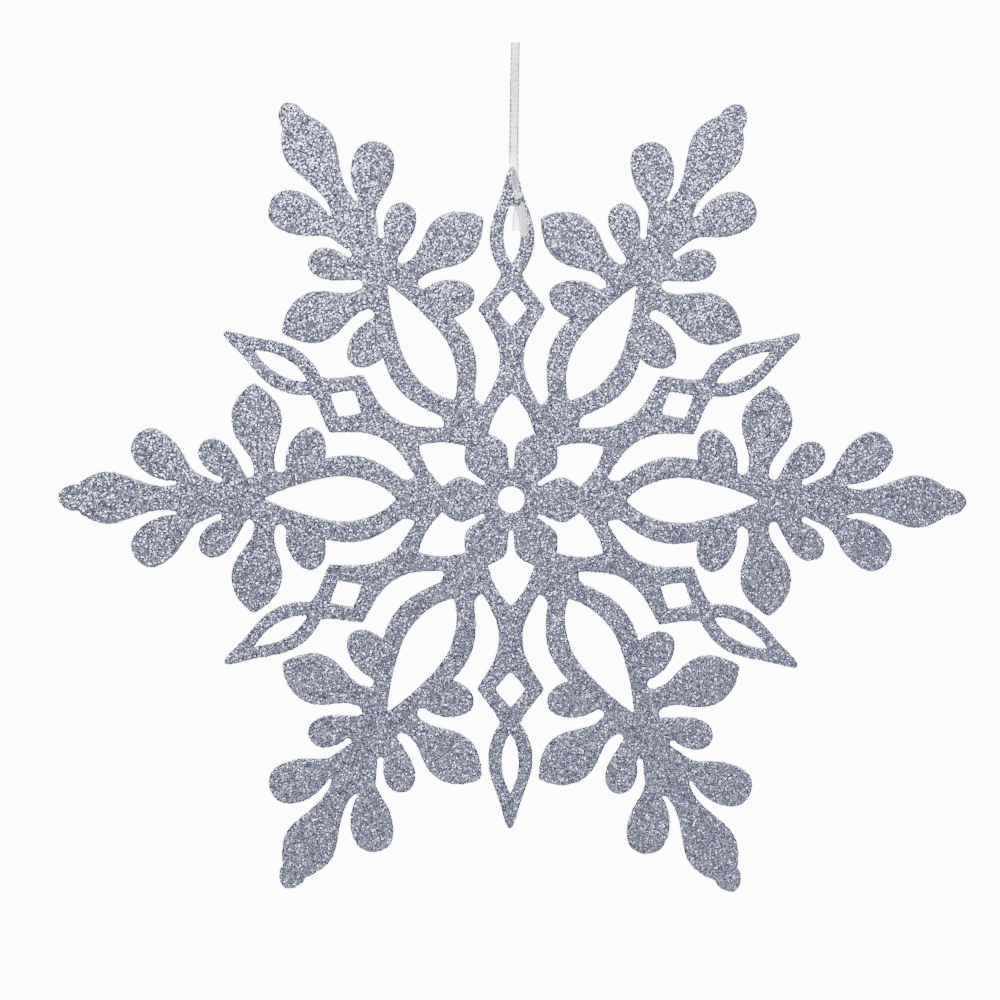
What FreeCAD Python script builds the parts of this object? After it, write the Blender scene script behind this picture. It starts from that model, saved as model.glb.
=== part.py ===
"""Flat glittered snowflake star, cut from board, on a narrow ribbon loop.

Frame: millimetres, +Z up. The star stands in the XZ plane with its front towards -Y,
and the origin is the middle of its centre hole, halfway through its thickness.
"""
import FreeCAD, Part
from math import cos, degrees, pi, sin, tan
import os

Vector = FreeCAD.Vector

# ---------------------------------------------------------------- driving dimensions
ARMS = 6                      # long leafy arms, with one short spike between each two
CORE_THICKNESS = 2.5          # cut board
GLUE_THICKNESS = 0.1          # film that holds the glitter on each face
GLITTER_THICKNESS = 0.25      # coat of flakes on each face
HUB_HOLE_RADIUS = 4.6         # through hole in the middle

RIBBON_WIDTH = 3.0
RIBBON_THICKNESS = 0.2
RIBBON_X = 1.2                # the ribbon hangs this far right of the middle
RIBBON_GAP = 0.35             # between the ribbon and the glitter beside it
LOOP_TOP = 150.2              # outside of the bight that goes over the hook
BIGHT_BOTTOM = 146.2          # the loop twists below this height
LEG_TOP = 145.8
LEG_BOTTOM = 112.2            # the ribbon bends below this height, over the spike's tip
SLING_TOP = 110.9

EYE_PASS_X = 0.3              # the gathered ribbon goes through the eye here
EYE_PASS_Z = 95.7
EYE_TURN_RADIUS = 1.0         # of the rim's edge, which it rounds
GATHERED_WIDTH = 1.2
GATHERED_THICKNESS = 0.35

KNOT_SIZE = (3.4, 2.0, 3.4)   # across, deep, high
KNOT_X = 2.0
KNOT_Z = 100.0
KNOT_ROUND = 0.8
TAIL_WIDTH = 2.7
SHORT_TAIL_X = 1.6
SHORT_TAIL_LENGTH = 9.7       # below the knot
LONG_TAIL_X = 3.0
LONG_TAIL_LENGTH = 12.0
LONG_TAIL_LEAN = 5.5          # degrees, its end to the right

FACE = CORE_THICKNESS / 2 + GLUE_THICKNESS + GLITTER_THICKNESS
LEG_Y = FACE + RIBBON_GAP + RIBBON_THICKNESS / 2
LOOP_Z = LOOP_TOP - RIBBON_THICKNESS / 2
LOOP_RADIUS = 0.45 * 2 * LEG_Y
HALF_SECTOR = pi / ARMS       # from an arm's axis to the next spike's axis

# The middle of the ribbon, as points (x, y, z). It goes up in front of the star, over the hook and
# down behind, then rounds the rim of the spike's eye from the back to the knot in front.
LOOP_ROUTE = [(RIBBON_X, -LEG_Y, LEG_BOTTOM), (RIBBON_X, -LEG_Y, LOOP_Z), (RIBBON_X, LEG_Y, LOOP_Z),
              (RIBBON_X, LEG_Y, LEG_BOTTOM)]
SLING_FRONT_ROUTE = [(RIBBON_X, -LEG_Y, SLING_TOP), (RIBBON_X, -LEG_Y, KNOT_Z)]
SLING_BACK_ROUTE = [(EYE_PASS_X, LEG_Y, SLING_TOP), (EYE_PASS_X, LEG_Y, EYE_PASS_Z),
                    (EYE_PASS_X, -LEG_Y, EYE_PASS_Z), (EYE_PASS_X, -LEG_Y, KNOT_Z)]

# ---------------------------------------------------------------- outline, as (along, across)
# Points along a long arm, measured from the centre. A smooth curve runs through each list.
EAR = [(61.5, 17.6), (63.1, 21.8), (66.6, 23.5), (70.3, 21.6), (73.6, 16.8), (74.4, 10.4)]
LARGE_LEAF_IN = [(78.3, 10.4), (78.3, 15.6), (76.3, 22.6), (76.9, 30.0), (80.7, 34.9), (84.3, 37.5)]
LARGE_LEAF_OUT = [(86.1, 37.4), (89.9, 33.7), (92.4, 27.0), (90.7, 20.1), (86.6, 14.4), (84.9, 8.7)]
SMALL_LEAF = [(88.4, 8.2), (90.7, 12.6), (94.6, 17.9), (98.9, 19.6), (102.4, 17.8), (103.3, 14.6),
              (101.4, 10.6), (96.3, 7.4)]
MIDDLE_LEAF = [(97.5, 5.1), (100.8, 6.8), (104.9, 8.8), (108.7, 14.6), (113.6, 20.4), (119.5, 22.9),
               (124.1, 20.2), (125.6, 15.6), (123.4, 11.0), (118.6, 7.4), (111.3, 5.8)]
END_LEAF = [(111.4, 4.2), (118.4, 4.1), (126.4, 6.7), (133.8, 8.5), (139.9, 6.7), (143.6, 4.1)]
LARGE_LEAF_TIP = (85.3, 37.9)
ARM_TIP = (150.0, 0.0)
ARM_TIP_SIDE = (148.6, 2.5)
# The rounded bottoms of the notches between one leaf and the next.
EAR_NOTCH = (76.4, 8.4)
LARGE_NOTCH = (86.5, 6.8)
SMALL_NOTCH = (95.7, 5.9)
MIDDLE_NOTCH = (110.5, 4.9)

# Points along a spike, measured from the centre along the spike's own axis.
RING_SIDE = [(34.6, 12.4), (39.5, 11.8), (44.9, 11.8), (50.4, 13.0), (55.4, 15.6), (60.2, 19.6)]
SLOT_BOTTOM = [(34.6, 12.4), (33.0, 11.8), (31.6, 10.4), (31.3, 9.5), (31.9, 8.8)]
LEG_SIDE = [(31.9, 8.8), (36.6, 6.3), (41.6, 4.3), (47.1, 3.8), (52.6, 5.0), (58.6, 8.2), (63.0, 10.9)]
DIAMOND_SIDE = [(63.0, 10.9), (67.0, 7.9), (71.0, 4.9), (74.7, 3.2)]
EYE_SIDE = [(74.7, 3.2), (79.6, 5.9), (86.0, 7.2), (93.6, 5.9), (101.4, 3.1), (106.3, 1.8), (108.6, 0.9)]
SPIKE_TIP = (109.4, 0.0)
SPIKE_TIP_SIDE = (109.1, 0.65)

# Half outlines of the openings that lie on an axis, from their inner end to their outer end.
ARM_OPENING = [(37.8, 0.0), (41.2, 3.2), (47.2, 6.2), (55.6, 7.7), (65.2, 6.2), (75.0, 3.2), (82.3, 0.0)]
KITE_NECK = [(10.6, 0.9), (14.8, 1.25), (18.3, 2.2), (20.3, 4.7), (21.7, 7.9)]
KITE_NECK_SIDE = (10.2, 0.6)
KITE_NECK_END = (10.0, 0.0)
KITE_SIDE = [(21.7, 7.9), (26.2, 6.5), (31.2, 3.9), (35.4, 0.0)]
DIAMOND_OPENING = [(57.0, 0.0), (60.1, 3.0), (63.1, 5.2), (66.2, 2.9), (69.3, 0.0)]
EYE_OPENING = [(77.5, 0.0), (81.4, 2.1), (87.2, 3.0), (93.2, 2.2), (98.5, 0.0)]


# ---------------------------------------------------------------- helpers
def flat(point):
    """A point (along, across) of the outline, in the star's own plane."""
    return Vector(point[0], 0, point[1])


def beside_arm(points):
    """Points given along a spike, in the axes of the arm beside it."""
    turned = []
    for along, across in points:
        turned.append((along * cos(HALF_SECTOR) + across * sin(HALF_SECTOR),
                       along * sin(HALF_SECTOR) - across * cos(HALF_SECTOR)))
    return turned


def curve(points, start=None, end=None):
    """A smooth curve through the points, with its end directions if they are given."""
    line = Part.BSplineCurve()
    ends = {}
    if start is not None:
        ends["InitialTangent"] = start
    if end is not None:
        ends["FinalTangent"] = end
    line.interpolate(Points=[flat(p) for p in points], **ends)
    return line.toShape()


def arc(first, middle, last):
    return Part.Arc(flat(first), flat(middle), flat(last)).toShape()


def closed_on_axis(half):
    """A closed wire from edges on one side of the axis and their mirror images."""
    other = [edge.mirror(Vector(0, 0, 0), Vector(0, 0, 1)) for edge in half]
    return Part.Wire(Part.__sortEdges__(half + other))


def turned(shape, angle):
    copy = shape.copy()
    copy.rotate(Vector(0, 0, 0), Vector(0, -1, 0), degrees(angle))
    return copy


def plate(face, front, back):
    """The flat shape as a plate between two depths, its front one the more negative."""
    solid = face.extrude(Vector(0, back - front, 0))
    solid.translate(Vector(0, front, 0))
    return solid


# ---------------------------------------------------------------- outline
def half_sector():
    """The outer outline from an arm's tip to the tip of the spike beside it."""
    spike_ends = beside_arm([EYE_SIDE[-1], SPIKE_TIP_SIDE, SPIKE_TIP])
    ring = beside_arm(RING_SIDE)
    return [
        arc(END_LEAF[-1], ARM_TIP_SIDE, ARM_TIP),
        curve(END_LEAF),
        arc(END_LEAF[0], MIDDLE_NOTCH, MIDDLE_LEAF[-1]),
        curve(MIDDLE_LEAF),
        arc(MIDDLE_LEAF[0], SMALL_NOTCH, SMALL_LEAF[-1]),
        curve(SMALL_LEAF),
        arc(SMALL_LEAF[0], LARGE_NOTCH, LARGE_LEAF_OUT[-1]),
        curve(LARGE_LEAF_OUT),
        arc(LARGE_LEAF_OUT[0], LARGE_LEAF_TIP, LARGE_LEAF_IN[-1]),
        curve(LARGE_LEAF_IN),
        arc(LARGE_LEAF_IN[0], EAR_NOTCH, EAR[-1]),
        curve(ring[-1:] + EAR),
        curve(ring),
        curve(beside_arm(SLOT_BOTTOM)),
        curve(beside_arm(LEG_SIDE)),
        curve(beside_arm(DIAMOND_SIDE)),
        curve(beside_arm(EYE_SIDE)),
        arc(*spike_ends),
    ]


def outer_outline():
    half = half_sector()
    mirrored = [edge.mirror(Vector(0, 0, 0), Vector(0, 0, 1)) for edge in half]
    edges = []
    for arm in range(ARMS):
        edges += [turned(edge, 2 * HALF_SECTOR * arm) for edge in half + mirrored]
    return Part.Wire(Part.__sortEdges__(edges))


def openings():
    """The hub hole, and the openings that repeat around the star."""
    on_arm = [closed_on_axis([curve(ARM_OPENING)])]
    kite = [arc(KITE_NECK[0], KITE_NECK_SIDE, KITE_NECK_END), curve(KITE_NECK), curve(KITE_SIDE)]
    on_spike = [closed_on_axis(kite),
                closed_on_axis([curve(DIAMOND_OPENING[:3]), curve(DIAMOND_OPENING[2:])]),
                closed_on_axis([curve(EYE_OPENING)])]
    wires = [Part.Wire([Part.Circle(Vector(0, 0, 0), Vector(0, -1, 0), HUB_HOLE_RADIUS).toShape()])]
    for arm in range(ARMS):
        angle = 2 * HALF_SECTOR * arm
        wires += [turned(wire, angle) for wire in on_arm]
        wires += [turned(wire, angle + HALF_SECTOR) for wire in on_spike]
    return wires


def star_face():
    face = Part.Face(outer_outline())
    for hole in openings():
        face = face.cut(Part.Face(hole))
    return face.Faces[0]


# ---------------------------------------------------------------- the star's layers
def core_board():
    return plate(STAR, -CORE_THICKNESS / 2, CORE_THICKNESS / 2)


def front_glue_film():
    return plate(STAR, -CORE_THICKNESS / 2 - GLUE_THICKNESS, -CORE_THICKNESS / 2)


def back_glue_film():
    return plate(STAR, CORE_THICKNESS / 2, CORE_THICKNESS / 2 + GLUE_THICKNESS)


def front_glitter_coat():
    return plate(STAR, -FACE, -FACE + GLITTER_THICKNESS)


def back_glitter_coat():
    return plate(STAR, FACE - GLITTER_THICKNESS, FACE)


# ---------------------------------------------------------------- the ribbon
def runs_and_arcs(route, radius):
    """The edges of straight runs joined by tangent arcs of one radius."""
    edges = []
    start = route[0]
    for before, corner, after in zip(route, route[1:], route[2:]):
        inward = (corner - before).normalize()
        onward = (after - corner).normalize()
        half_turn = inward.getAngle(onward) / 2
        first = corner - inward * radius * tan(half_turn)
        last = corner + onward * radius * tan(half_turn)
        middle = corner + (onward - inward).normalize() * radius * (1 / cos(half_turn) - 1)
        edges += [Part.LineSegment(start, first).toShape(), Part.Arc(first, middle, last).toShape()]
        start = last
    return edges + [Part.LineSegment(start, route[-1]).toShape()]


def beside(route, distance):
    """A route in a plane square to X, moved sideways: at each corner it stays parallel to both runs."""
    sideways = [Vector(1, 0, 0).cross(b - a).normalize() for a, b in zip(route, route[1:])]
    moved = [route[0] + sideways[0] * distance]
    for corner, one, other in zip(route[1:-1], sideways, sideways[1:]):
        moved.append(corner + (one + other) * (distance / (1 + one.dot(other))))
    return moved + [route[-1] + sideways[-1] * distance]


def strip(points, width, thickness, radius=0):
    """A ribbon along a route, its face towards the star's face. The route turns one way only."""
    route = [Vector(*point) for point in points]
    ahead = beside(route, thickness / 2)
    behind = beside(route, -thickness / 2)
    turns = 1 if (route[1] - route[0]).cross(route[-1] - route[1]).x > 0 else -1
    edges = runs_and_arcs(ahead, radius - turns * thickness / 2)
    edges += runs_and_arcs(behind, radius + turns * thickness / 2)
    edges += [Part.LineSegment(ahead[i], behind[i]).toShape() for i in (0, -1)]
    side = Part.Face(Part.Wire(Part.__sortEdges__(edges)))
    solid = side.extrude(Vector(width, 0, 0))
    solid.translate(Vector(-width / 2, 0, 0))
    return solid


def stretch_of_loop(bottom, top, front=True, back=True):
    """The loop between two heights, on one side of the star or on both."""
    loop = strip(LOOP_ROUTE, RIBBON_WIDTH, RIBBON_THICKNESS, LOOP_RADIUS)
    low_y = -LOOP_TOP if front else 0
    high_y = LOOP_TOP if back else 0
    span = Part.makeBox(2 * LOOP_TOP, high_y - low_y, top - bottom, Vector(-LOOP_TOP, low_y, bottom))
    return loop.common(span).Solids[0]


def ribbon_bight():
    print("ribbon bight: turn radius", LOOP_RADIUS)
    return stretch_of_loop(BIGHT_BOTTOM, LOOP_TOP)


def ribbon_leg_front():
    return stretch_of_loop(LEG_BOTTOM, LEG_TOP, back=False)


def ribbon_leg_back():
    return stretch_of_loop(LEG_BOTTOM, LEG_TOP, front=False)


def ribbon_knot():
    across, deep, high = KNOT_SIZE
    corner = Vector(KNOT_X - across / 2, -FACE - RIBBON_GAP - deep, KNOT_Z - high / 2)
    block = Part.makeBox(across, deep, high, corner)
    return block.makeFillet(KNOT_ROUND, block.Edges)


def clear_of_knot(ribbon):
    """What is left of a piece of ribbon outside the knot."""
    return max(ribbon.cut(ribbon_knot()).Solids, key=lambda solid: solid.Volume)


def ribbon_front_turn():
    """From the bend over the spike's tip down the front of the spike to the knot."""
    return clear_of_knot(strip(SLING_FRONT_ROUTE, RIBBON_WIDTH, RIBBON_THICKNESS))


def ribbon_back_turn():
    """Down behind the spike, gathered narrow, and through the eye to the knot."""
    print("ribbon through the eye: turn radius", EYE_TURN_RADIUS)
    return clear_of_knot(strip(SLING_BACK_ROUTE, GATHERED_WIDTH, GATHERED_THICKNESS, EYE_TURN_RADIUS))


def tail(x, y, length, lean):
    """A loose end, from inside the knot down to its cut."""
    top = Vector(x, y, KNOT_Z)
    end = Vector(x, y, KNOT_Z - KNOT_SIZE[2] / 2 - length)
    ribbon = strip([top, end], TAIL_WIDTH, RIBBON_THICKNESS)
    ribbon.rotate(top, Vector(0, 1, 0), -lean)
    return clear_of_knot(ribbon)


def ribbon_tail_short():
    return tail(SHORT_TAIL_X, -LEG_Y - 2 * RIBBON_THICKNESS, SHORT_TAIL_LENGTH, 0)


def ribbon_tail_long():
    return tail(LONG_TAIL_X, -LEG_Y, LONG_TAIL_LENGTH, LONG_TAIL_LEAN)


# ---------------------------------------------------------------- the parts
NODES = {
    "core_board": core_board,
    "front_glue_film": front_glue_film,
    "back_glue_film": back_glue_film,
    "front_glitter_coat": front_glitter_coat,
    "back_glitter_coat": back_glitter_coat,
    "ribbon_bight": ribbon_bight,
    "ribbon_leg_front": ribbon_leg_front,
    "ribbon_leg_back": ribbon_leg_back,
    "ribbon_front_turn": ribbon_front_turn,
    "ribbon_back_turn": ribbon_back_turn,
    "ribbon_knot": ribbon_knot,
    "ribbon_tail_short": ribbon_tail_short,
    "ribbon_tail_long": ribbon_tail_long,
}

STAR = star_face()
os.makedirs("parts", exist_ok=True)
for name, make in NODES.items():
    shape = make()
    print(name, "volume", round(shape.Volume, 2), "valid", shape.isValid(), "solids", len(shape.Solids))
    shape.exportStep("parts/" + name + ".step")
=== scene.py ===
"""The looks of a glittered snowflake star on a sheer ribbon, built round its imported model.

Metres, +Z up, the star's front towards -Y. Sizes that follow the model are read from it.
"""
import math

import bmesh
import bpy
import numpy as np
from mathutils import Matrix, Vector, geometry, kdtree


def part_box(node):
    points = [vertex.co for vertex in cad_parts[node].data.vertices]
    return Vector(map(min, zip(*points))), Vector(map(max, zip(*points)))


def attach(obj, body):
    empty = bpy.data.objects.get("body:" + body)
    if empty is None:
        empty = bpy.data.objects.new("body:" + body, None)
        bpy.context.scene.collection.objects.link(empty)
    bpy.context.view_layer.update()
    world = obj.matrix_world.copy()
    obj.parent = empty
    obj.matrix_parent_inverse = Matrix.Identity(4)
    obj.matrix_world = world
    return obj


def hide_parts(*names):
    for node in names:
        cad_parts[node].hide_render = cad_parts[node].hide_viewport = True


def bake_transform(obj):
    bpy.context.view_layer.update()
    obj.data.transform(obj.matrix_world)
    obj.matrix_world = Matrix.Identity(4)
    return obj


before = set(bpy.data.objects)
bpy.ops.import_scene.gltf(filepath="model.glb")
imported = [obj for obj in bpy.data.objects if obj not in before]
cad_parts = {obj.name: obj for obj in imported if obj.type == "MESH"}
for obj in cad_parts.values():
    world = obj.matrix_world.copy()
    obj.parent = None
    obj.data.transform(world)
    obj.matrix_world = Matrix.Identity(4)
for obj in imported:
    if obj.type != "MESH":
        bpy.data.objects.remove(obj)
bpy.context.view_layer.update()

MM = 0.001
RNG = np.random.default_rng(20261117)

# ---------------------------------------------------------------- sizes
CAMERA_PLACE = (0.0234, -1.3, 0.1002)
CAMERA_TURN = (85.589, -0.187, 1.208)    # degrees about X, Y and Z
CAMERA_LENS = 142.1
SENSOR = 36.0

SURROUND_STRENGTH = 12.0         # what the camera sees behind the star
SKY_STRENGTH = 0.58
# the sky that the flakes see, from straight down to straight up
SKY = [(0.0, (0.15, 0.15, 0.19)), (0.40, (0.27, 0.27, 0.32)), (0.50, (0.42, 0.42, 0.48)),
       (0.62, (0.66, 0.66, 0.72)), (0.82, (1.15, 1.15, 1.20)), (1.0, (1.5, 1.5, 1.55))]
LAMPS = [                        # name, place, aim, size and power
    ("key", (-0.01, -0.32, 0.38), (0, 0, 0.055), 0.24, 5.6),
    ("fill", (0.60, -0.8, 0.7), (0, 0, 0), 0.36, 3.7),
    ("side", (-0.75, -0.7, 0.6), (0, 0, 0), 0.32, 2.2),
    ("rear", (0.4, 1.0, 0.9), (0, 0, 0), 0.7, 14),
]

FACET = 0.66 * MM                # side of one facet of the glitter
CORNER_SHIFT = 0.3               # share of that side by which a corner lies off the even grid
RIM_CLEARANCE = 0.45 * FACET     # between the grid's corners and the cut edge
FACE_JITTER = 0.05 * MM          # how far a facet's corner stands in or out
CALMER_RIM = 0.6                 # share of that jitter which is lost at the cut edge
SKIN_LIFT = 0.02 * MM            # the skin's mean height over the coat's own face
EDGE_ROUND = 0.45 * MM           # the coat rounds over the cut edge within this width
EDGE_DROP = 0.17 * MM            # and is this much lower there
EDGE_UNEVEN = 0.04               # in mm
EDGE_PROUD = 0.16 * MM           # glitter on the cut edge
EDGE_RAGGED = 0.20 * MM
WALL_ROWS = (1.05, 0.36)         # heights, in mm, of the rows of corners on each half of the cut edge
WALL_UNEVEN = 0.12               # in mm
LEVEL_TOLERANCE = 0.002 * MM     # within which a corner of the model lies on a coat's flat face
PROBE = 0.1 * MM                 # how far out a point is tried, to tell the board from the open side

FLAKE_SIZE = (0.30 * MM, 0.58 * MM)
FLAKE_THICKNESS = 0.03 * MM
FLAKE_SIDES = 6
FLAKE_TINTS = [(0.0, (0.198, 0.206, 0.297)), (0.45, (0.234, 0.245, 0.367)), (0.77, (0.283, 0.299, 0.455)),
               (0.87, (0.81, 0.845, 1.0)), (1.0, (0.94, 0.965, 1.0))]
FLAKE_POLISH = (0.10, 0.28)      # roughness of the most and the least polished flakes
FLAKE_METALLIC = 0.9
FLAKE_CELL = 0.29 * MM           # width of one flake of the glitter's material
FLAKE_LEAN = 0.58                # how far each one's normal leans
FLAKES_PER_EDGE = 1 / (0.46 * MM)
UPPER_EDGE_SHARE = 0.75          # of the edge flakes, those that lie only where the edge faces up
UPPER_EDGE_RISE = 1.6            # how soon an edge counts as facing up
EDGE_FLAKE_PROUD = (-0.032, 0.224)  # in mm, how far the edge flakes stand out of the edge's glitter
EDGE_FLAKE_TURN = 1.6            # how far the edge flakes turn to the front or back
FLAKES_PER_FACE = 2200
FACE_TRIES = 6                   # random places drawn for each place kept, as most miss the board
FACE_FLAKE_HEIGHT = (0.02, 0.16)  # in mm, over the coat's face
FACE_FLAKE_TIP = 0.4             # how far the face flakes tip over
FLAKE_TIP = 0.3                  # how far every flake tips over

RIBBON_WIDTH = 2.9 * MM
WARPS = 11                       # threads along the ribbon
WEFT_STEP = 0.30 * MM            # between the threads across it
THREAD_RADIUS = 0.060 * MM
WEAVE_DEPTH = 0.6 * THREAD_RADIUS
WARP_WANDER = 0.035 * MM
WANDER_STEP = 12                 # half weft steps from one bend of a warp to its next
WEFT_SWAY = 0.03 * MM
SELVAGE_RADIUS = 0.19 * MM
SELVAGE_PITCH = 1.7 * MM
SELVAGE_PLY = 0.8 * SELVAGE_RADIUS
EXTRA_FULLNESS = 0.25            # of the selvage over the threads between
SELVAGE_TWIST = 0.7              # share of the selvage's radius at which a ply's middle runs
THREAD_NOISE = (0.36, 0.62)      # noise values at which thread is at its darkest and its palest

KNOT_THREADS = 20
KNOT_SIZE = 0.36 * MM
KNOT_STEPS = 150                 # points round the knot
GATHERED_RADIUS = 0.40 * MM      # of the ribbon gathered to a cord
GATHERED_FLATNESS = 0.8
KNOT_THREAD_RADIUS = (0.07, 0.12)  # in mm
THREAD_TURN = 2.4                # radians round the cord from one thread to the next
THREAD_WAVE = 0.5
THROAT_WRAPS = 8
THROAT_RADIUS = 1.40             # in mm, as are the next four
THROAT_NARROWING = 0.30
THROAT_UNEVEN = 0.06
THROAT_TOP = -1.0
THROAT_LENGTH = 1.4
THROAT_TILT = 0.25
THROAT_FLATNESS = 0.62
THROAT_SHIFT = [0.0003, 0, 0]
THROAT_THREAD_RADIUS = 0.16 * MM
# materials of the throat's wraps, from the knot's list: 2 is near-black thread as painted shadow under the
# knot, 1 is metal
THROAT_KINDS = (2, 2, 2, 1, 2)

# The middle of the ribbon, as control points: up in front of the star, over the hook and down
# behind, then from the star's tip down the front, through the spike's eye and up behind. It
# follows the model's route to within about 1 mm.
LOOP_ROUTE = [(0.0006, -0.00205, 0.1136), (0.0008, -0.00205, 0.142), (0.0009, -0.00205, 0.1501),
              (0.0009, 0.00205, 0.1501), (0.0006, 0.00205, 0.142), (0.0003, 0.00205, 0.1136)]
SLING_ROUTE = [(0.0006, -0.00205, 0.1136), (0.0007, -0.00215, 0.1090), (0.0010, -0.0024, 0.1040),
               (0.0018, -0.0029, 0.1006), (0.0014, -0.0028, 0.0980), (0.0004, -0.0014, 0.0967),
               (0.0003, 0.0014, 0.0967), (0.0003, 0.0025, 0.0985), (0.0004, 0.0021, 0.1080),
               (0.0003, 0.00205, 0.1136)]
KNOT_CENTRE = Vector((0.0019, -0.00295, 0.0999))
SHORT_TAIL = [(0.0018, -0.0031, 0.0988), (0.0016, -0.0025, 0.0962), (0.0015, -0.0025, 0.0925),
              (0.0015, -0.0024, 0.0885)]
LONG_TAIL = [(0.0023, -0.0032, 0.0990), (0.0034, -0.0027, 0.0965), (0.0039, -0.0022, 0.0920),
             (0.0042, -0.0023, 0.0866)]

# How wide the gathered ribbon is along its way, and how full its threads are there.
SLING_WIDTHS = np.array([3.0, 3.0, 2.3, 1.5, 1.3, 1.3, 1.6, 2.4, 3.0, 3.0]) * MM
SLING_FULLNESS = [0.85, 0.4, 0.3, 0.45, 0.7, 0.8, 0.8, 0.5, 0.5, 0.9]
SLING_WARPS = 7
SHORT_TAIL_WIDTHS = np.array([1.1, 2.2, 2.7, 2.7]) * MM
LONG_TAIL_WIDTHS = np.array([1.1, 2.3, 2.7, 2.7]) * MM

FLOOR_Z = -0.45
FLOOR_REACH = 0.6

star_low, star_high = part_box("core_board")
FRONT_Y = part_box("front_glitter_coat")[0].y
BACK_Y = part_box("back_glitter_coat")[1].y


# ---------------------------------------------------------------- camera and light
def make_camera():
    data = bpy.data.cameras.new("camera")
    data.sensor_width, data.lens = SENSOR, CAMERA_LENS
    data.clip_start, data.clip_end = 0.05, 20
    camera = bpy.data.objects.new("camera", data)
    camera.location = CAMERA_PLACE
    camera.rotation_euler = [math.radians(turn) for turn in CAMERA_TURN]
    bpy.context.scene.collection.objects.link(camera)
    bpy.context.scene.camera = camera


def make_light(name, place, aim, size, power):
    data = bpy.data.lights.new(name, "AREA")
    data.shape, data.size, data.energy = "DISK", size, power
    light = bpy.data.objects.new(name, data)
    light.location = place
    light.rotation_mode = "QUATERNION"
    light.rotation_quaternion = (Vector(place) - Vector(aim)).to_track_quat("Z", "Y")
    light.visible_camera = False
    bpy.context.scene.collection.objects.link(light)


def make_world():
    """A white surround, which the star's flakes see as a soft sky that is bright above and dim below."""
    world = bpy.data.worlds.new("studio")
    bpy.context.scene.world = world
    world.use_nodes = True
    nodes, links = world.node_tree.nodes, world.node_tree.links
    nodes.clear()
    seen = nodes.new("ShaderNodeBackground")
    seen.inputs["Color"].default_value = (1, 1, 1, 1)
    seen.inputs["Strength"].default_value = SURROUND_STRENGTH
    around = nodes.new("ShaderNodeBackground")
    around.inputs["Strength"].default_value = SKY_STRENGTH
    where = nodes.new("ShaderNodeTexCoord")
    split = nodes.new("ShaderNodeSeparateXYZ")
    links.new(where.outputs["Generated"], split.inputs["Vector"])
    height = nodes.new("ShaderNodeMapRange")
    height.inputs["From Min"].default_value = -1
    links.new(split.outputs["Z"], height.inputs["Value"])
    sky = ramp(nodes, SKY)
    links.new(height.outputs["Result"], sky.inputs["Fac"])
    links.new(sky.outputs["Color"], around.inputs["Color"])
    path = nodes.new("ShaderNodeLightPath")
    mix = nodes.new("ShaderNodeMixShader")
    out = nodes.new("ShaderNodeOutputWorld")
    links.new(path.outputs["Is Camera Ray"], mix.inputs["Fac"])
    links.new(around.outputs["Background"], mix.inputs[1])
    links.new(seen.outputs["Background"], mix.inputs[2])
    links.new(mix.outputs["Shader"], out.inputs["Surface"])


# ---------------------------------------------------------------- materials
def new_material(name):
    material = bpy.data.materials.new(name)
    material.use_nodes = True
    tree = material.node_tree
    shader = tree.nodes["Principled BSDF"]
    return material, tree.nodes, tree.links, shader


def ramp(nodes, stops):
    node = nodes.new("ShaderNodeValToRGB")
    while len(node.color_ramp.elements) < len(stops):
        node.color_ramp.elements.new(0.5)
    for element, (place, colour) in zip(node.color_ramp.elements, stops):
        element.position = place
        element.color = (*colour, 1)
    return node


def glitter_material(name, cell, tilt):
    """Tiny mirror flakes: each cell has its own tint, polish and tilt."""
    material, nodes, links, shader = new_material(name)
    where = nodes.new("ShaderNodeTexCoord")
    cells = nodes.new("ShaderNodeTexVoronoi")
    cells.feature = "F1"
    cells.inputs["Scale"].default_value = 1 / cell
    links.new(where.outputs["Object"], cells.inputs["Vector"])
    split = nodes.new("ShaderNodeSeparateColor")
    links.new(cells.outputs["Color"], split.inputs["Color"])
    tint = ramp(nodes, FLAKE_TINTS)
    links.new(split.outputs["Red"], tint.inputs["Fac"])
    links.new(tint.outputs["Color"], shader.inputs["Base Color"])
    polish = ramp(nodes, [(0.0, (FLAKE_POLISH[0],) * 3), (1.0, (FLAKE_POLISH[1],) * 3)])
    links.new(split.outputs["Green"], polish.inputs["Fac"])
    links.new(polish.outputs["Color"], shader.inputs["Roughness"])
    shader.inputs["Metallic"].default_value = FLAKE_METALLIC
    # each flake leans its own way
    lean = nodes.new("ShaderNodeVectorMath")
    lean.operation = "MULTIPLY_ADD"
    links.new(cells.outputs["Color"], lean.inputs[0])
    lean.inputs[1].default_value = (2 * tilt,) * 3
    lean.inputs[2].default_value = (-tilt,) * 3
    facing = nodes.new("ShaderNodeNewGeometry")
    total = nodes.new("ShaderNodeVectorMath")
    total.operation = "ADD"
    links.new(facing.outputs["Normal"], total.inputs[0])
    links.new(lean.outputs["Vector"], total.inputs[1])
    unit = nodes.new("ShaderNodeVectorMath")
    unit.operation = "NORMALIZE"
    links.new(total.outputs["Vector"], unit.inputs[0])
    links.new(unit.outputs["Vector"], shader.inputs["Normal"])
    return material


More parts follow.
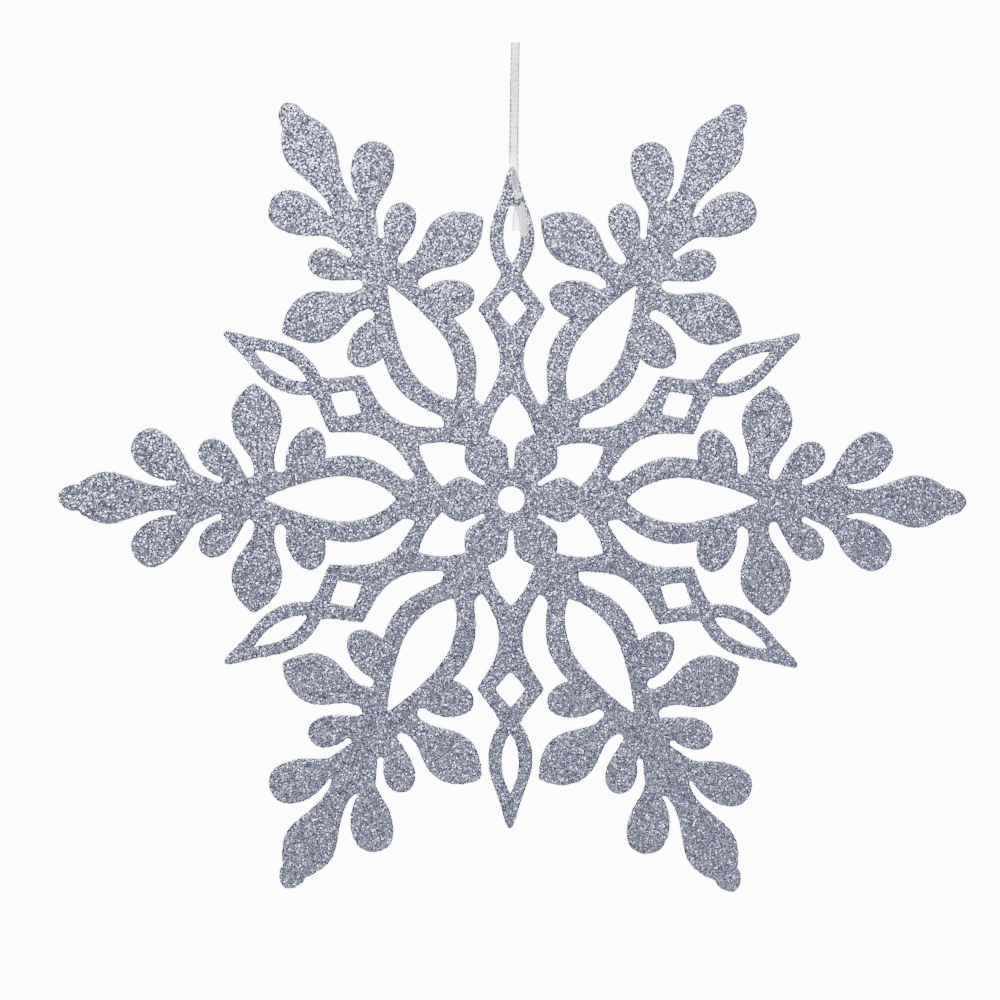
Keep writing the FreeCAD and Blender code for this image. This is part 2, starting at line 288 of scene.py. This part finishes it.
def thread_material(name, colour, dark, metallic, roughness, grain):
    """Spun thread, with its tone uneven along it."""
    material, nodes, links, shader = new_material(name)
    where = nodes.new("ShaderNodeTexCoord")
    noise = nodes.new("ShaderNodeTexNoise")
    noise.inputs["Scale"].default_value = 1 / grain
    noise.inputs["Detail"].default_value = 3
    links.new(where.outputs["Object"], noise.inputs["Vector"])
    tint = ramp(nodes, list(zip(THREAD_NOISE, (dark, colour))))
    links.new(noise.outputs["Fac"], tint.inputs["Fac"])
    links.new(tint.outputs["Color"], shader.inputs["Base Color"])
    shader.inputs["Metallic"].default_value = metallic
    shader.inputs["Roughness"].default_value = roughness
    bump = nodes.new("ShaderNodeBump")
    bump.inputs["Strength"].default_value = 0.5
    bump.inputs["Distance"].default_value = 0.03 * MM
    links.new(noise.outputs["Fac"], bump.inputs["Height"])
    links.new(bump.outputs["Normal"], shader.inputs["Normal"])
    return material


def board_material():
    """Grey board: fibres and specks."""
    material, nodes, links, shader = new_material("grey_board")
    where = nodes.new("ShaderNodeTexCoord")
    fibres = nodes.new("ShaderNodeTexNoise")
    fibres.inputs["Scale"].default_value = 900
    fibres.inputs["Detail"].default_value = 6
    links.new(where.outputs["Object"], fibres.inputs["Vector"])
    tint = ramp(nodes, [(0.3, (0.34, 0.33, 0.33)), (0.7, (0.55, 0.54, 0.54))])
    links.new(fibres.outputs["Fac"], tint.inputs["Fac"])
    links.new(tint.outputs["Color"], shader.inputs["Base Color"])
    shader.inputs["Roughness"].default_value = 0.9
    bump = nodes.new("ShaderNodeBump")
    bump.inputs["Strength"].default_value = 0.4
    bump.inputs["Distance"].default_value = 0.05 * MM
    links.new(fibres.outputs["Fac"], bump.inputs["Height"])
    links.new(bump.outputs["Normal"], shader.inputs["Normal"])
    return material


def glue_material():
    """Dried glue film: milky, with uneven gloss."""
    material, nodes, links, shader = new_material("dried_glue")
    where = nodes.new("ShaderNodeTexCoord")
    blots = nodes.new("ShaderNodeTexNoise")
    blots.inputs["Scale"].default_value = 160
    links.new(where.outputs["Object"], blots.inputs["Vector"])
    tint = ramp(nodes, [(0.35, (0.62, 0.63, 0.66)), (0.65, (0.78, 0.79, 0.82))])
    links.new(blots.outputs["Fac"], tint.inputs["Fac"])
    links.new(tint.outputs["Color"], shader.inputs["Base Color"])
    gloss = ramp(nodes, [(0.3, (0.25, 0.25, 0.25)), (0.7, (0.55, 0.55, 0.55))])
    links.new(blots.outputs["Fac"], gloss.inputs["Fac"])
    links.new(gloss.outputs["Color"], shader.inputs["Roughness"])
    return material


def floor_material():
    material, nodes, links, shader = new_material("pale_floor")
    where = nodes.new("ShaderNodeTexCoord")
    noise = nodes.new("ShaderNodeTexNoise")
    noise.inputs["Scale"].default_value = 40
    links.new(where.outputs["Object"], noise.inputs["Vector"])
    tint = ramp(nodes, [(0.3, (0.80, 0.80, 0.80)), (0.7, (0.83, 0.83, 0.83))])
    links.new(noise.outputs["Fac"], tint.inputs["Fac"])
    links.new(tint.outputs["Color"], shader.inputs["Base Color"])
    shader.inputs["Roughness"].default_value = 0.7
    return material


# ---------------------------------------------------------------- mesh helpers
def mesh_object(name, vertices, faces, materials, material_of=None, smooth=False):
    mesh = bpy.data.meshes.new(name)
    mesh.from_pydata([tuple(v) for v in vertices], [], [tuple(int(i) for i in f) for f in faces])
    for material in materials:
        mesh.materials.append(material)
    if material_of is not None:
        mesh.polygons.foreach_set("material_index", np.asarray(material_of, np.int32))
    mesh.polygons.foreach_set("use_smooth", [smooth] * len(mesh.polygons))
    mesh.update()
    obj = bpy.data.objects.new(name, mesh)
    bpy.context.scene.collection.objects.link(obj)
    return obj


def unit(vectors):
    return vectors / (np.linalg.norm(vectors, axis=-1, keepdims=True) + 1e-15)


def tangents(line):
    return unit(np.gradient(line, axis=0))


class Threads:
    """Many round threads gathered into one mesh."""

    def __init__(self):
        self.points, self.faces, self.kinds, self.count = [], [], [], 0

    def add(self, line, radius, side, kind=0, sides=4):
        line = np.asarray(line, float)
        along = tangents(line)
        side = unit(side - (side * along).sum(1, keepdims=True) * along)
        other = np.cross(along, side)
        turn = (np.arange(sides) * 2 * math.pi / sides)[None, :, None]
        ring = np.cos(turn) * side[:, None, :] + np.sin(turn) * other[:, None, :]
        self.points.append((line[:, None, :] + np.reshape(radius, (-1, 1, 1)) * ring).reshape(-1, 3))
        n = len(line)
        for i in range(n - 1):
            low, high = self.count + i * sides, self.count + (i + 1) * sides
            for k in range(sides):
                self.faces.append((low + k, low + (k + 1) % sides, high + (k + 1) % sides, high + k))
        last = self.count + (n - 1) * sides
        self.faces.append(tuple(self.count + k for k in reversed(range(sides))))
        self.faces.append(tuple(last + k for k in range(sides)))
        self.kinds += [kind] * (len(self.faces) - len(self.kinds))
        self.count += n * sides

    def make(self, name, materials):
        return mesh_object(name, np.vstack(self.points), self.faces, materials, self.kinds, smooth=True)


def centreline(points):
    """The smooth line of a NURBS spline with these control points."""
    data = bpy.data.curves.new("route", "CURVE")
    data.dimensions = "3D"
    data.resolution_u = 32
    spline = data.splines.new("NURBS")
    spline.points.add(len(points) - 1)
    for control, place in zip(spline.points, points):
        control.co = (*place, 1)
    spline.order_u = 3
    spline.use_endpoint_u = True
    curve = bpy.data.objects.new("route", data)
    bpy.context.scene.collection.objects.link(curve)
    mesh = bpy.data.meshes.new_from_object(curve)
    line = np.array([v.co for v in mesh.vertices])
    bpy.data.objects.remove(curve)
    bpy.data.meshes.remove(mesh)
    return line


def distances(line):
    """How far along the line each of its points lies."""
    return np.concatenate([[0], np.cumsum(np.linalg.norm(np.diff(line, axis=0), axis=1))])


def spread(values, count):
    """The values again, evenly spread over a number of points."""
    return np.interp(np.linspace(0, 1, count), np.linspace(0, 1, len(values)), values)


def spaced(line, step):
    """The open line again, with points a step apart."""
    along = distances(line)
    count = max(4, int(round(along[-1] / step)) + 1)
    at = np.linspace(0, along[-1], count)
    return np.stack([np.interp(at, along, line[:, i]) for i in range(3)], 1)


def woven(name, route, widths, materials, fullness=(1, 1), warps=WARPS, frayed=False,
          plies=((1, 2), (1, 2))):
    """A strip of sheer ribbon: threads woven over and under, with a twisted thread at each edge.

    The fullness is a share of a thread's radius. It and the widths are spread along the route. The plies
    are the materials of the twisted thread at each edge.
    """
    line = spaced(route, WEFT_STEP / 2)
    n = len(line)
    along = tangents(line)
    across = unit(np.array([1.0, 0, 0]) - along[:, :1] * along)
    out = np.cross(along, across)
    half = spread(widths, n) / 2 - SELVAGE_RADIUS
    stoutness = spread(fullness, n)
    threads = Threads()
    phase = np.arange(n) * math.pi / 2
    for k in range(warps):
        u = 2 * (k + 0.5) / warps - 1
        bends = RNG.normal(0, WARP_WANDER, (n + 2 * WANDER_STEP - 1) // WANDER_STEP)
        wander = np.interp(np.arange(n), np.arange(0, n + WANDER_STEP, WANDER_STEP), bends)
        stop = n - int(RNG.integers(0, 3)) if frayed else n
        weave = WEAVE_DEPTH * np.cos(phase + k * math.pi)
        warp = line + across * (u * half + wander)[:, None] + out * weave[:, None]
        threads.add(warp[:stop], THREAD_RADIUS * stoutness[:stop], across[:stop])
    lanes = np.linspace(-1, 1, 2 * warps + 1)
    swing = np.array([0 if i % 2 == 0 else (-1) ** (i // 2) for i in range(len(lanes))])
    for j in range(1, n - 1 - (3 if frayed else 0), 2):
        sway = RNG.normal(0, WEFT_SWAY)
        weft = line[j] + across[j] * (lanes * half[j])[:, None] + along[j] * sway
        weft = weft - out[j] * (WEAVE_DEPTH * swing * math.cos(phase[j - 1]))[:, None]
        threads.add(weft, THREAD_RADIUS * stoutness[j], np.repeat(along[j][None], len(lanes), 0))
    where = distances(line)
    for edge, kinds in zip((-1, 1), plies):
        for ply, kind in enumerate(kinds):
            turn = where * 2 * math.pi / SELVAGE_PITCH + ply * math.pi
            twist = across * np.cos(turn)[:, None] + out * np.sin(turn)[:, None]
            path = line + across * (edge * half)[:, None] + twist * SELVAGE_TWIST * SELVAGE_RADIUS
            threads.add(path, SELVAGE_PLY * np.minimum(1, stoutness + EXTRA_FULLNESS), across, kind, sides=6)
    return threads.make(name, materials), line


def knot_of(name, centre, materials):
    """The ribbon gathered to a cord and tied: a trefoil of crumpled threads."""
    threads = Threads()
    t = np.linspace(0, 2 * math.pi, KNOT_STEPS, endpoint=False)
    t = np.append(t, t[0])
    core = np.stack([np.sin(t) + 2 * np.sin(2 * t), -0.8 * np.sin(3 * t), np.cos(t) - 2 * np.cos(2 * t)], 1)
    core *= KNOT_SIZE
    along = unit(np.roll(core, -1, 0) - np.roll(core, 1, 0))
    side = unit(np.cross(along, np.array([0, 1.0, 0])))
    other = np.cross(along, side)
    for i in range(KNOT_THREADS):
        reach = GATHERED_RADIUS * math.sqrt((i + 0.5) / KNOT_THREADS)
        turn = THREAD_TURN * i + THREAD_WAVE * np.sin(t + i)
        path = core + side * (np.cos(turn) * reach)[:, None]
        path = path + other * (np.sin(turn) * reach * GATHERED_FLATNESS)[:, None]
        radius = RNG.uniform(*KNOT_THREAD_RADIUS) * MM
        threads.add(path + np.array(centre), radius, side, 1 if i % 7 == 0 else 0)
    # the last pass of the ribbon wraps the throat; all its wraps but one are near-black painted shadow under
    # the knot, and that one is metal
    for i in range(THROAT_WRAPS):
        share = i / (THROAT_WRAPS - 1)
        uneven = RNG.uniform(-THROAT_UNEVEN, THROAT_UNEVEN)
        wide = (THROAT_RADIUS - THROAT_NARROWING * share + uneven) * MM
        tilt = RNG.uniform(-THROAT_TILT, THROAT_TILT)
        ring = np.stack([wide * np.cos(t), THROAT_FLATNESS * wide * np.sin(t), tilt * wide * np.cos(t)], 1)
        ring[:, 2] += (THROAT_TOP - THROAT_LENGTH * share) * MM
        place = ring + np.array(centre) - THROAT_SHIFT
        threads.add(place, THROAT_THREAD_RADIUS, ring, THROAT_KINDS[i % len(THROAT_KINDS)])
    return threads.make(name, materials)


# ---------------------------------------------------------------- the star's outline, from the model
def outline_loops(node, level):
    """The closed edges of a node's flat face at a given Y, as arrays of (x, z)."""
    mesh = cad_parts[node].data
    mesh.calc_loop_triangles()
    co = np.zeros(len(mesh.vertices) * 3)
    mesh.vertices.foreach_get("co", co)
    co = co.reshape(-1, 3)
    keys, names = {}, []
    for x, y, z in co:
        if abs(y - level) < LEVEL_TOLERANCE:
            names.append(keys.setdefault((round(x, 6), round(z, 6)), len(keys)))
        else:
            names.append(-1)
    places = np.array(list(keys))
    ahead = {}
    seen = set()
    for triangle in mesh.loop_triangles:
        corners = [names[v] for v in triangle.vertices]
        if min(corners) >= 0:
            for a, b in zip(corners, corners[1:] + corners[:1]):
                seen.add((a, b))
    for a, b in seen:
        if (b, a) not in seen:
            ahead[a] = b
    loops = []
    while ahead:
        start, here = ahead.popitem()
        loop = [start]
        while here != start:
            loop.append(here)
            here = ahead.pop(here)
        loops.append(places[loop])
    return loops


def evenly(loop, step):
    """The closed line again, with points a step apart."""
    closed = np.vstack([loop, loop[:1]])
    along = distances(closed)
    count = max(8, int(round(along[-1] / step)))
    at = np.arange(count) * along[-1] / count
    return np.stack([np.interp(at, along, closed[:, 0]), np.interp(at, along, closed[:, 1])], 1)


def inside(points, loops):
    """Which points lie in the star: an even-odd count, in thin rows."""
    starts = np.vstack(loops)
    ends = np.vstack([np.roll(loop, -1, axis=0) for loop in loops])
    row = 0.5 * MM
    low = starts[:, 1].min() - row
    rows = np.floor((points[:, 1] - low) / row).astype(int)
    first = np.floor((np.minimum(starts[:, 1], ends[:, 1]) - low) / row).astype(int)
    last = np.floor((np.maximum(starts[:, 1], ends[:, 1]) - low) / row).astype(int)
    found = np.zeros(len(points), bool)
    for r in np.unique(rows):
        mine = np.nonzero(rows == r)[0]
        near = (first <= r) & (last >= r)
        if not near.any():
            continue
        a, b = starts[near], ends[near]
        px, pz = points[mine, 0][:, None], points[mine, 1][:, None]
        spans = (a[:, 1] > pz) != (b[:, 1] > pz)
        rise = np.where(b[:, 1] == a[:, 1], 1e-12, b[:, 1] - a[:, 1])
        cross = a[:, 0] + (pz - a[:, 1]) * (b[:, 0] - a[:, 0]) / rise
        found[mine] = ((spans & (px < cross)).sum(1) % 2) == 1
    return found


def outward(loop, loops):
    """Unit vectors in the star's plane, square to one of its cut edges and away from the board."""
    ahead = np.roll(loop, -1, axis=0) - np.roll(loop, 1, axis=0)
    ahead /= np.linalg.norm(ahead, axis=1)[:, None] + 1e-15
    normal = np.stack([ahead[:, 1], -ahead[:, 0]], 1)
    return -normal if inside(loop + normal * PROBE, loops).mean() > 0.5 else normal


# ---------------------------------------------------------------- the glitter
def rim_tree(rim):
    tree = kdtree.KDTree(len(rim))
    for i, (x, z) in enumerate(rim):
        tree.insert((x, 0, z), i)
    tree.balance()
    return tree


def face_corners(loops, tree):
    """The facets' corners inside the outline, on an uneven grid, and how far each is from the cut edge."""
    rows = []
    for k, z in enumerate(np.arange(star_low.z, star_high.z, FACET * math.sqrt(3) / 2)):
        xs = np.arange(star_low.x + (k % 2) * FACET / 2, star_high.x, FACET)
        rows.append(np.stack([xs, np.full_like(xs, z)], 1))
    corners = np.vstack(rows)
    corners += RNG.uniform(-CORNER_SHIFT, CORNER_SHIFT, corners.shape) * FACET
    corners = corners[inside(corners, loops)]
    gaps = np.array([tree.find((x, 0, z))[2] for x, z in corners])
    kept = gaps > RIM_CLEARANCE
    return corners[kept], gaps[kept]


def facets_between(corners, loops):
    """Triangles between the corners, of which the rim's come first. They keep to the cut edges."""
    edges, base = [], 0
    for loop in loops:
        n = len(loop)
        edges += [(base + i, base + (i + 1) % n) for i in range(n)]
        base += n
    flat = [Vector(corner / MM) for corner in corners]
    verts, _, tris, _, _, _ = geometry.delaunay_2d_cdt(flat, edges, [], 0, 1e-5)
    verts = np.array([(v.x, v.y) for v in verts]) * MM
    tris = np.array([t for t in tris if len(t) == 3])
    return verts, tris[inside(verts[tris].mean(1), loops)]


def edge_wall(loops, side, at):
    """Half of the glitter on the cut edge: rows of ragged corners from the rim to the board's middle.

    Its corners are numbered from at on, and the rim's from 0.
    """
    rows, faces, base = [], [], 0
    for loop in loops:
        n = len(loop)
        normal = outward(loop, loops)
        above = np.arange(base, base + n)
        for height in [side * row * MM for row in WALL_ROWS] + [0.0]:
            ragged = RNG.uniform(-1, 1, n) * EDGE_RAGGED
            shift = np.zeros(n)
            if height:
                shift = RNG.uniform(-WALL_UNEVEN, WALL_UNEVEN, n) * MM
            else:
                ragged = np.zeros(n)    # both coats meet in this row
            ring = loop + normal * (EDGE_PROUD + ragged)[:, None]
            rows.append(np.stack([ring[:, 0], height + shift, ring[:, 1]], 1))
            below = np.arange(at, at + n)
            after_above, after_below = np.roll(above, -1), np.roll(below, -1)
            swap = RNG.random(n) < 0.5
            for i in range(n):
                a, b, c, d = above[i], after_above[i], after_below[i], below[i]
                faces += [(a, b, c), (a, c, d)] if swap[i] else [(a, b, d), (b, c, d)]
            above, at = below, at + n
        base += n
    return np.vstack(rows), faces


def glitter_skins(material):
    """The glitter coats as two faceted shells that meet halfway through the cut edge."""
    loops = [evenly(loop, FACET) for loop in outline_loops("front_glitter_coat", FRONT_Y)]
    rim = np.vstack(loops)
    tree = rim_tree(rim)
    for side, level, name, node in ((-1, FRONT_Y, "glitter_front", "front_glitter_coat"),
                                    (1, BACK_Y, "glitter_back", "back_glitter_coat")):
        inner, gaps = face_corners(loops, tree)
        verts, tris = facets_between(np.vstack([rim, inner]), loops)
        depth = np.zeros(len(verts))
        uneven = RNG.uniform(-EDGE_UNEVEN, EDGE_UNEVEN, len(rim)) * MM
        depth[:len(rim)] = level - side * EDGE_DROP + uneven
        rounding = np.clip(1 - gaps / EDGE_ROUND, 0, 1)
        jitter = RNG.uniform(-1, 1, len(inner)) * FACE_JITTER * (1 - CALMER_RIM * rounding)
        lift = SKIN_LIFT - EDGE_DROP * rounding ** 2
        depth[len(rim):len(rim) + len(inner)] = level + side * lift + jitter
        face = np.stack([verts[:, 0], depth, verts[:, 1]], 1)
        wall, wall_faces = edge_wall(loops, side, len(face))
        faces = [tuple(t) for t in tris] + wall_faces
        shell = mesh_object(name, np.vstack([face, wall]), faces, [material])
        face_out(shell)
        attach(shell, "star")
        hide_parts(node)
        loose_flakes(name + "_flakes", side, loops, material)


def edge_flakes(loop, loops, side):
    """Places and directions of the flakes that stand out of one cut edge."""
    n = len(loop)
    normal = outward(loop, loops)
    count = int(n * FACET * FLAKES_PER_EDGE)
    pick = RNG.integers(0, n, count)
    facing_down = 1 - np.clip(normal[pick, 1] * UPPER_EDGE_RISE, 0, 1)
    pick = pick[RNG.random(count) > UPPER_EDGE_SHARE * facing_down]
    count = len(pick)
    proud = EDGE_PROUD + RNG.uniform(*EDGE_FLAKE_PROUD, count) * MM
    ring = loop[pick] + normal[pick] * proud[:, None]
    depth = side * RNG.uniform(0.0, 1.0, count) * abs(FRONT_Y)
    places = np.stack([ring[:, 0], depth, ring[:, 1]], 1)
    turn = side * RNG.uniform(0.0, EDGE_FLAKE_TURN, count)
    return places, np.stack([normal[pick, 0], turn, normal[pick, 1]], 1)


def face_flakes(loops, side):
    """Places and directions of the flakes that lie loose on one face."""
    spots = RNG.uniform(-1, 1, (FLAKES_PER_FACE * FACE_TRIES, 2)) * [star_high.x, star_high.z]
    spots = spots[inside(spots, loops)][:FLAKES_PER_FACE]
    n = len(spots)
    level = side * (abs(FRONT_Y) + RNG.uniform(*FACE_FLAKE_HEIGHT, n) * MM)
    places = np.stack([spots[:, 0], level, spots[:, 1]], 1)
    sideways, upwards = RNG.normal(0, FACE_FLAKE_TIP, n), RNG.normal(0, FACE_FLAKE_TIP, n)
    return places, np.stack([sideways, np.full(n, side), upwards], 1)


def loose_flakes(name, side, loops, material):
    """Thin six-sided flakes standing at all angles on the face and out of the cut edge."""
    lots = [edge_flakes(loop, loops, side) for loop in loops] + [face_flakes(loops, side)]
    places = np.vstack([lot[0] for lot in lots])
    leans = np.vstack([lot[1] for lot in lots])
    leans = unit(leans + RNG.normal(0, FLAKE_TIP, leans.shape))
    side_way = unit(np.cross(leans, unit(RNG.normal(0, 1, places.shape))))
    other = np.cross(leans, side_way)
    radius = RNG.uniform(*FLAKE_SIZE, len(places)) / 2
    points, faces = [], []
    for i in range(len(places)):
        low = 2 * FLAKE_SIDES * i
        high = low + FLAKE_SIDES
        for layer in (-0.5, 0.5):
            for k in range(FLAKE_SIDES):
                turn = k * 2 * math.pi / FLAKE_SIDES
                points.append(places[i] + layer * FLAKE_THICKNESS * leans[i]
                              + radius[i] * (math.cos(turn) * side_way[i] + math.sin(turn) * other[i]))
        faces.append(tuple(low + k for k in reversed(range(FLAKE_SIDES))))
        faces.append(tuple(high + k for k in range(FLAKE_SIDES)))
        for k in range(FLAKE_SIDES):
            after = (k + 1) % FLAKE_SIDES
            faces.append((low + k, low + after, high + after, high + k))
    flakes = mesh_object(name, points, faces, [material])
    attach(flakes, "star")


def face_out(obj):
    """Turns every face of a shell outwards."""
    bm = bmesh.new()
    bm.from_mesh(obj.data)
    bmesh.ops.recalc_face_normals(bm, faces=bm.faces)
    bm.to_mesh(obj.data)
    bm.free()


# ---------------------------------------------------------------- the ribbon
make_camera()

sheer = thread_material("sheer_thread", (0.90, 0.91, 0.96), (0.72, 0.735, 0.81), 0.0, 0.42, 0.35 * MM)
metal = thread_material("metal_thread", (0.98, 0.98, 1.0), (0.60, 0.61, 0.68), 0.9, 0.25, 0.5 * MM)
dull = thread_material("dull_thread", (0.27, 0.28, 0.33), (0.09, 0.093, 0.12), 0.9, 0.30, 0.5 * MM)
# a whiter copy of the sheer thread, for the knot's threads: painted highlight
bright = thread_material("knot_highlight_thread", (0.97, 0.975, 1.0), (0.86, 0.88, 0.96), 0.0, 0.35, 0.35 * MM)
# near-black thread: painted shadow under the knot, used for the throat's wraps
shade = thread_material("painted_shadow_thread", (0.15, 0.16, 0.21), (0.05, 0.055, 0.075), 0.2, 0.45, 0.4 * MM)
cool = thread_material("cool_thread", (0.95, 0.97, 1.0), (0.82, 0.87, 1.0), 0.0, 0.32, 0.35 * MM)
ribbon_looks = [sheer, metal, dull]
# the knot's materials: whiter thread as painted highlight, metal, and near-black thread as painted shadow
knot_looks = [bright, metal, shade]
tail_looks = [cool, metal, dull]

loop, loop_line = woven("ribbon_loop", centreline(LOOP_ROUTE), [RIBBON_WIDTH, RIBBON_WIDTH], ribbon_looks)
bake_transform(loop)
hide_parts("ribbon_bight", "ribbon_leg_front", "ribbon_leg_back")

sling, sling_line = woven("ribbon_sling", centreline(SLING_ROUTE), SLING_WIDTHS, ribbon_looks,
                          SLING_FULLNESS, warps=SLING_WARPS, plies=((0,), (0, 1)))
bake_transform(sling)
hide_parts("ribbon_front_turn", "ribbon_back_turn")

knot = knot_of("ribbon_knot_tied", KNOT_CENTRE, knot_looks)
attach(knot, "star")
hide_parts("ribbon_knot")

TAILS = [    # name, the node it stands for, route, widths, fullness, and the plies of its edges
    ("ribbon_tail_short_end", "ribbon_tail_short", SHORT_TAIL, SHORT_TAIL_WIDTHS, (1.0, 0.8),
     ((0, 1), (0, 1))),
    # only the long tail's right edge has the dark ply: the selvage's own dark thread, and also painted shadow
    # where the tail leans on the eye's rim
    ("ribbon_tail_long_end", "ribbon_tail_long", LONG_TAIL, LONG_TAIL_WIDTHS, (1.0, 0.85),
     ((0, 1), (1, 2))),
]
for name, node, route, widths, fullness, plies in TAILS:
    tail, _ = woven(name, centreline(route), widths, tail_looks, fullness, frayed=True, plies=plies)
    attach(tail, "star")
    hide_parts(node)

# ---------------------------------------------------------------- the surround and the star
make_world()
for lamp in LAMPS:
    make_light(*lamp)

glitter = glitter_material("silver_glitter", FLAKE_CELL, FLAKE_LEAN)
glitter_skins(glitter)

floor_corners = [(x * FLOOR_REACH, y * FLOOR_REACH, FLOOR_Z) for x, y in ((-1, -1), (1, -1), (1, 1), (-1, 1))]
floor = mesh_object("floor", floor_corners, [(0, 1, 2, 3)], [floor_material()])

board, glue = board_material(), glue_material()
for node, material in (("core_board", board), ("front_glue_film", glue), ("back_glue_film", glue)):
    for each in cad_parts[node].material_slots:
        each.material = material
